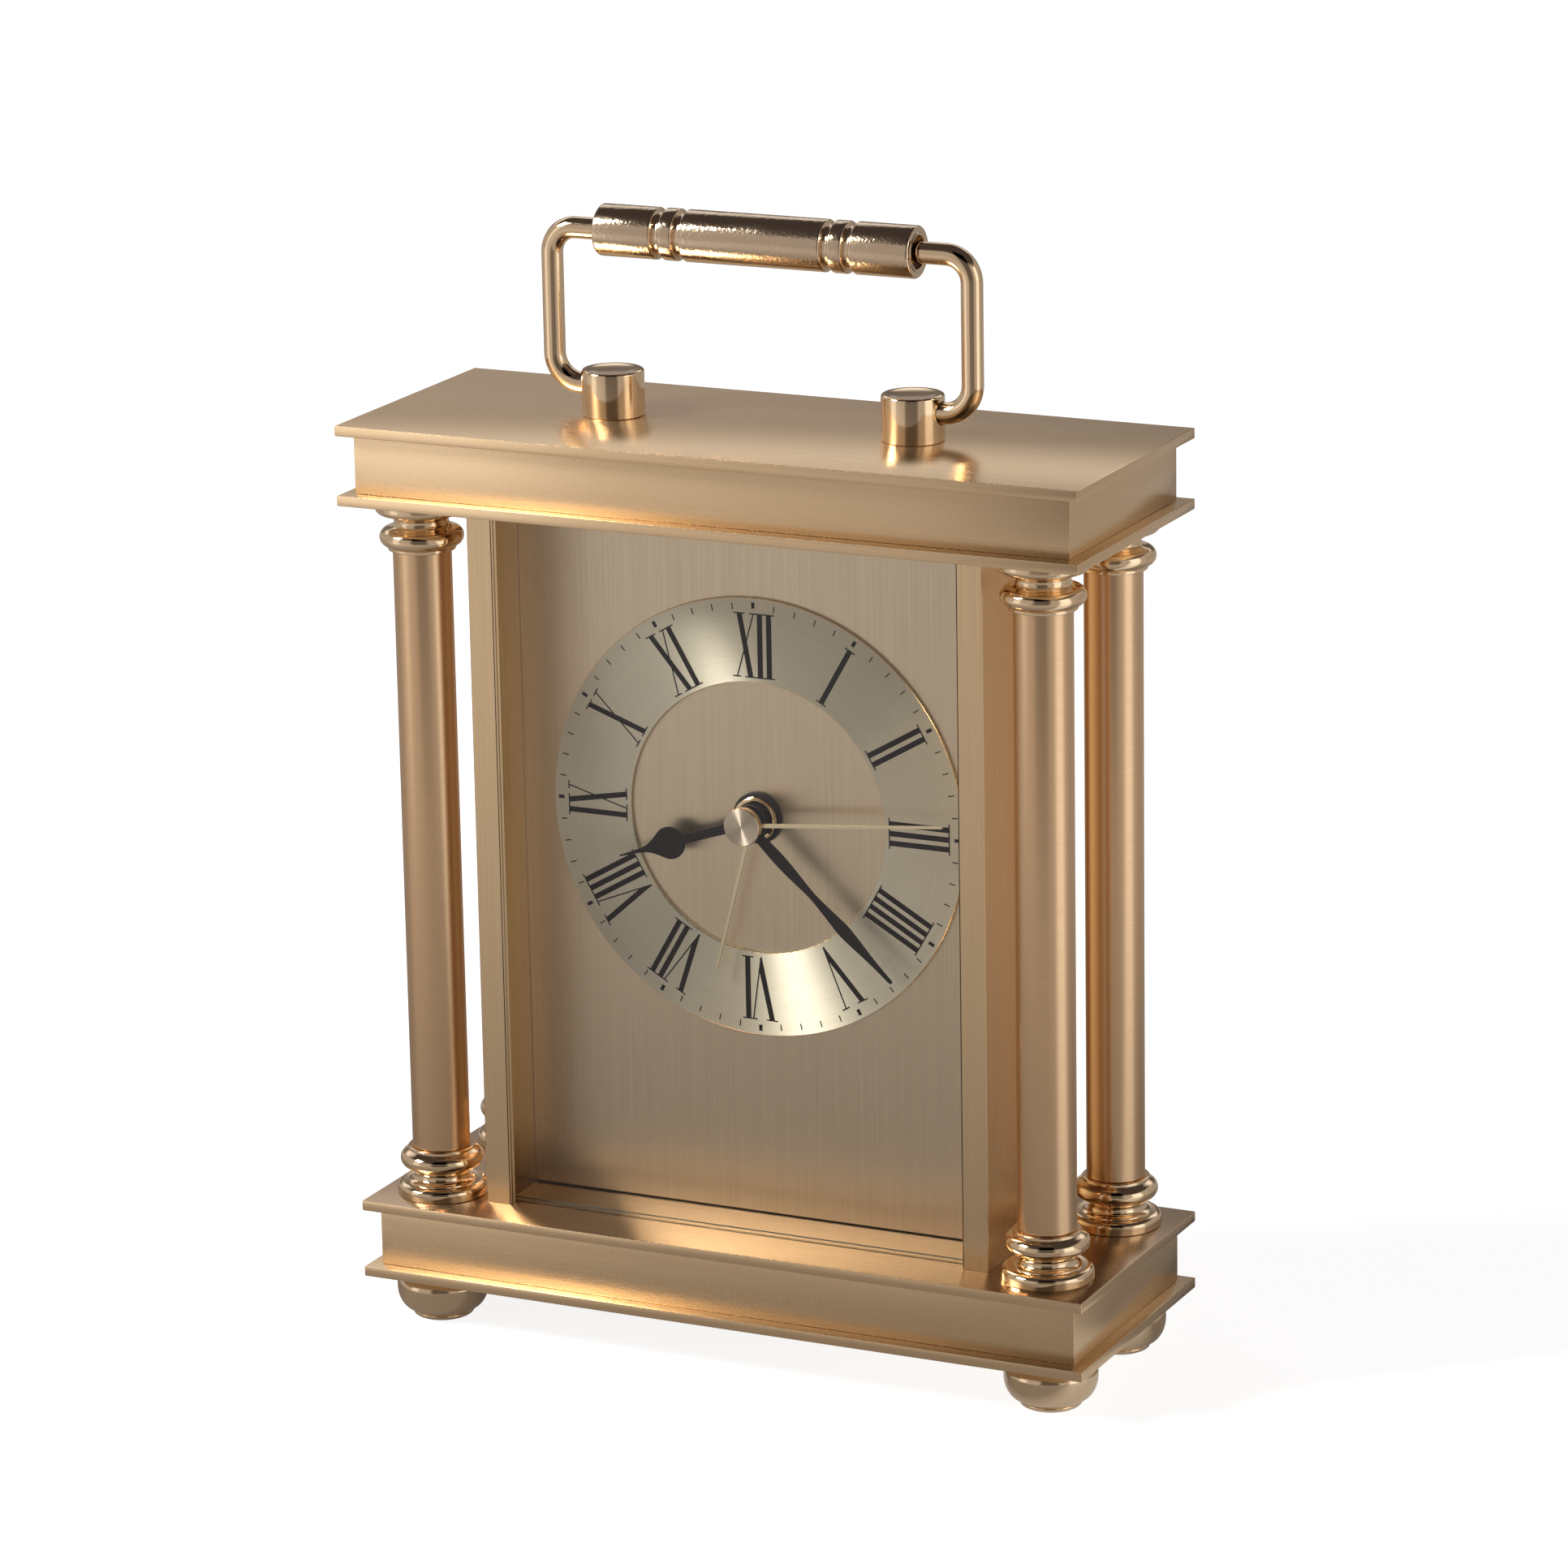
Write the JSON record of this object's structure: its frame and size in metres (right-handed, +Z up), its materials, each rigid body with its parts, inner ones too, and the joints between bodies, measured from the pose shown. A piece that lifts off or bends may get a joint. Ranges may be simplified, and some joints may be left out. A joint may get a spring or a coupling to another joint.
{
  "type": "carriage clock",
  "caption": "Brass-cased carriage clock with turned columns, a fold-down carrying handle, a Roman dial and a quartz alarm movement.",
  "frame": {"origin": "on the table, under the middle of the clock", "axes": "+Z up, -Y out of the dial towards the reader, +X to the right of someone facing the dial"},
  "size_m": [0.127, 0.0472, 0.1838],
  "materials": {
    "satin_brass": "brushed lengthwise, lacquered satin",
    "case_brass": "brushed upright, lacquered satin",
    "dial_brass": "brushed upright, fine",
    "ring_brass": "spun in circles",
    "column_brass": "fine satin",
    "polished_brass": "polished and lacquered",
    "steel": "plain",
    "clear_glass": "clear",
    "black_plastic": "moulded",
    "white_plastic": "moulded acetal",
    "battery_jacket": "shrink sleeve",
    "board_green": "solder resist",
    "copper": "enamelled wire",
    "piezo_brass": "plain",
    "black_hand": "satin black",
    "gold_hand": "satin gold"
  },
  "bodies": {
    "clock": {"base_bottom_plate": "satin_brass", "base_block": "satin_brass", "base_top_plate": "satin_brass", "cornice_plate": "satin_brass", "frieze_block": "satin_brass", "cap_plate": "satin_brass", "foot_front_left": "polished_brass", "foot_front_right": "polished_brass", "foot_rear_left": "polished_brass", "foot_rear_right": "polished_brass", "column_base_front_left": "polished_brass", "column_base_front_right": "polished_brass", "column_base_rear_left": "polished_brass", "column_base_rear_right": "polished_brass", "column_shaft_front_left": "column_brass", "column_shaft_front_right": "column_brass", "column_shaft_rear_left": "column_brass", "column_shaft_rear_right": "column_brass", "column_capital_front_left": "polished_brass", "column_capital_front_right": "polished_brass", "column_capital_rear_left": "polished_brass", "column_capital_rear_right": "polished_brass", "tie_rod_front_left": "steel", "tie_rod_front_right": "steel", "tie_rod_rear_left": "steel", "tie_rod_rear_right": "steel", "case_side_left": "case_brass", "case_side_right": "case_brass", "back_panel": "case_brass", "glass_pane": "clear_glass", "dial_plate": "dial_brass", "chapter_ring": "ring_brass", "handle_post_left": "polished_brass", "handle_post_right": "polished_brass", "movement_case": "black_plastic", "movement_cover": "black_plastic", "battery": "battery_jacket", "circuit_board": "board_green", "motor_stator": "steel", "motor_coil": "copper", "buzzer_disc": "piezo_brass", "fixing_nut": "polished_brass"},
    "handle": {"handle_bail": "polished_brass", "handle_grip": "polished_brass"},
    "minute_work": {"minute_arbor": "white_plastic", "minute_hand": "black_hand"},
    "hour_work": {"hour_wheel": "white_plastic", "hour_hand": "black_hand"},
    "motion_work": {"motion_wheel": "white_plastic", "time_set_knob": "white_plastic"},
    "seconds_work": {"seconds_wheel": "white_plastic", "second_hand": "gold_hand"},
    "rotor": {"rotor": "steel"},
    "intermediate_work": {"intermediate_wheel": "white_plastic"},
    "third_work": {"third_wheel": "white_plastic"},
    "minute_gear": {"minute_wheel": "white_plastic"},
    "alarm_work": {"alarm_wheel": "white_plastic", "alarm_hand": "gold_hand"},
    "alarm_setter": {"alarm_set_knob": "white_plastic"},
    "alarm_switch": {"alarm_switch": "white_plastic"}
  },
  "joints": [
    {"name": "handle_fold", "type": "hinge", "parent": "clock", "child": "handle", "pos_m": [0, 0, 0.1546], "axis": [1, 0, 0], "range_deg": [-90, 90]},
    {"name": "minute_turn", "type": "hinge", "parent": "clock", "child": "minute_work", "pos_m": [0, 0, 0.0874], "axis": [0, 1, 0], "continuous": true},
    {"name": "hour_turn", "type": "hinge", "parent": "clock", "child": "hour_work", "pos_m": [0, 0, 0.0874], "axis": [0, 1, 0], "continuous": true},
    {"name": "motion_turn", "type": "hinge", "parent": "clock", "child": "motion_work", "pos_m": [0.00886, 0, 0.08584], "axis": [0, 1, 0], "continuous": true},
    {"name": "seconds_turn", "type": "hinge", "parent": "clock", "child": "seconds_work", "pos_m": [0, 0, 0.0874], "axis": [0, 1, 0], "continuous": true},
    {"name": "rotor_turn", "type": "hinge", "parent": "clock", "child": "rotor", "pos_m": [0.00718, 0, 0.09704], "axis": [0, 1, 0], "continuous": true},
    {"name": "intermediate_turn", "type": "hinge", "parent": "clock", "child": "intermediate_work", "pos_m": [0.00336, 0, 0.09322], "axis": [0, 1, 0], "continuous": true},
    {"name": "third_turn", "type": "hinge", "parent": "clock", "child": "third_work", "pos_m": [-0.00798, 0, 0.08881], "axis": [0, 1, 0], "continuous": true},
    {"name": "minute_gear_turn", "type": "hinge", "parent": "clock", "child": "minute_gear", "pos_m": [0, 0, 0.0874], "axis": [0, 1, 0], "continuous": true},
    {"name": "alarm_turn", "type": "hinge", "parent": "clock", "child": "alarm_work", "pos_m": [0, 0, 0.0874], "axis": [0, 1, 0], "continuous": true},
    {"name": "alarm_set_turn", "type": "hinge", "parent": "clock", "child": "alarm_setter", "pos_m": [-0.00174, 0, 0.09725], "axis": [0, 1, 0], "continuous": true},
    {"name": "alarm_switch_slide", "type": "slide", "parent": "clock", "child": "alarm_switch", "axis": [0, 0, -1], "range_m": [0, 0.003]}
  ],
  "couplings": [
    {"joint": "hour_turn", "follows": "minute_turn", "ratio": 0.083333},
    {"joint": "motion_turn", "follows": "minute_turn", "ratio": -0.33333},
    {"joint": "rotor_turn", "follows": "seconds_turn", "ratio": 30},
    {"joint": "intermediate_turn", "follows": "seconds_turn", "ratio": -6},
    {"joint": "third_turn", "follows": "seconds_turn", "ratio": -0.13333},
    {"joint": "minute_gear_turn", "follows": "seconds_turn", "ratio": 0.016667},
    {"joint": "alarm_set_turn", "follows": "alarm_turn", "ratio": -4}
  ]
}
